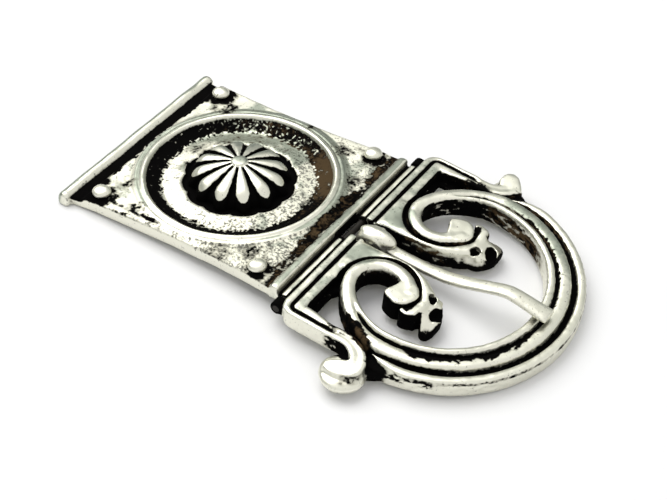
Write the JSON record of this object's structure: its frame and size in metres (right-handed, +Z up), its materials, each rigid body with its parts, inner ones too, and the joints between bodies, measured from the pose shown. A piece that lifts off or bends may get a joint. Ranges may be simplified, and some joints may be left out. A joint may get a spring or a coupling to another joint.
{
  "type": "belt buckle",
  "caption": "Cast belt buckle with a hinged D-shaped loop, scrolls ending in beast heads, a loose tongue, and a riveted belt plate with a ringed rosette.",
  "frame": {"origin": "on the surface that the buckle rests on, under the middle of its box", "axes": "+X from the belt plate's back end towards the far end of the bow, +Y across the strap, +Z up"},
  "size_m": [0.0862, 0.0604, 0.0071],
  "materials": {
    "antique_silver": "antique silver plating, polished on the high places, with a black patina in the recesses",
    "blackened_pin": "dark, dull"
  },
  "bodies": {
    "plate": {"belt_plate": "antique_silver", "rivet_back_left": "antique_silver", "rivet_back_right": "antique_silver", "rivet_front_left": "antique_silver", "rivet_front_right": "antique_silver"},
    "loop": {"buckle_loop": "antique_silver", "hinge_pin": "blackened_pin"},
    "tongue": {"tongue": "antique_silver"}
  },
  "joints": [
    {"name": "loop_hinge", "type": "hinge", "parent": "plate", "child": "loop", "pos_m": [0.00266, 0, 0.00313], "axis": [0, -1, 0], "range_deg": [-90, 45]},
    {"name": "tongue_hinge", "type": "hinge", "parent": "loop", "child": "tongue", "pos_m": [0.00707, 0, 0.0032], "axis": [0, -1, 0], "range_deg": [0, 100]}
  ]
}
